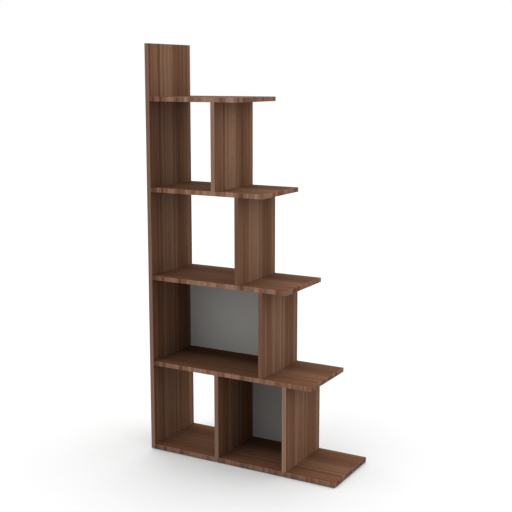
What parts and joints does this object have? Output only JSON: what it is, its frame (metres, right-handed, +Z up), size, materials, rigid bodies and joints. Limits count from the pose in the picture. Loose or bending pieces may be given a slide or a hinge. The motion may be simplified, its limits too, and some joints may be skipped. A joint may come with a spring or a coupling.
{
  "type": "staircase bookshelf",
  "caption": "Free-standing stepped bookshelf: a tall side panel and walnut-effect shelves that reach further at each level down, with dividers and grey back panels.",
  "frame": {"origin": "on the floor under the centre of the overall outline", "axes": "+Z up, -Y towards the open front, +X towards the long ends of the shelves, away from the side panel"},
  "size_m": [0.845, 0.3, 1.669],
  "materials": {
    "walnut_board": "satin",
    "walnut_edging": "satin",
    "grey_board": "matte",
    "die_cast_zinc": "satin",
    "zinc_plated_steel": "satin",
    "brown_plastic": "satin",
    "beech": "matte",
    "glide_plastic": "satin"
  },
  "bodies": {
    "root": {"side_panel": "walnut_board", "bottom_shelf": "walnut_board", "lower_shelf": "walnut_board", "middle_shelf": "walnut_board", "upper_shelf": "walnut_board", "top_shelf": "walnut_board", "bottom_divider": "walnut_board", "lower_divider": "walnut_board", "middle_divider": "walnut_board", "upper_divider": "walnut_board", "bottom_partition": "walnut_board", "side_panel_edging": "walnut_edging", "bottom_shelf_edging": "walnut_edging", "lower_shelf_edging": "walnut_edging", "middle_shelf_edging": "walnut_edging", "upper_shelf_edging": "walnut_edging", "top_shelf_edging": "walnut_edging", "bottom_divider_edging": "walnut_edging", "lower_divider_edging": "walnut_edging", "middle_divider_edging": "walnut_edging", "upper_divider_edging": "walnut_edging", "bottom_partition_edging": "walnut_edging", "lower_back_panel": "grey_board", "bottom_back_panel": "grey_board", "shelf_cams": "die_cast_zinc", "shelf_cam_bolts": "zinc_plated_steel", "shelf_cam_caps": "brown_plastic", "shelf_dowels": "beech", "divider_cams": "die_cast_zinc", "divider_cam_bolts": "zinc_plated_steel", "divider_cam_caps": "brown_plastic", "divider_dowels": "beech", "back_panel_cams": "die_cast_zinc", "back_panel_cam_bolts": "zinc_plated_steel", "back_panel_dowels": "beech", "floor_glides": "glide_plastic", "glide_nails": "zinc_plated_steel"}
  },
  "joints": []
}
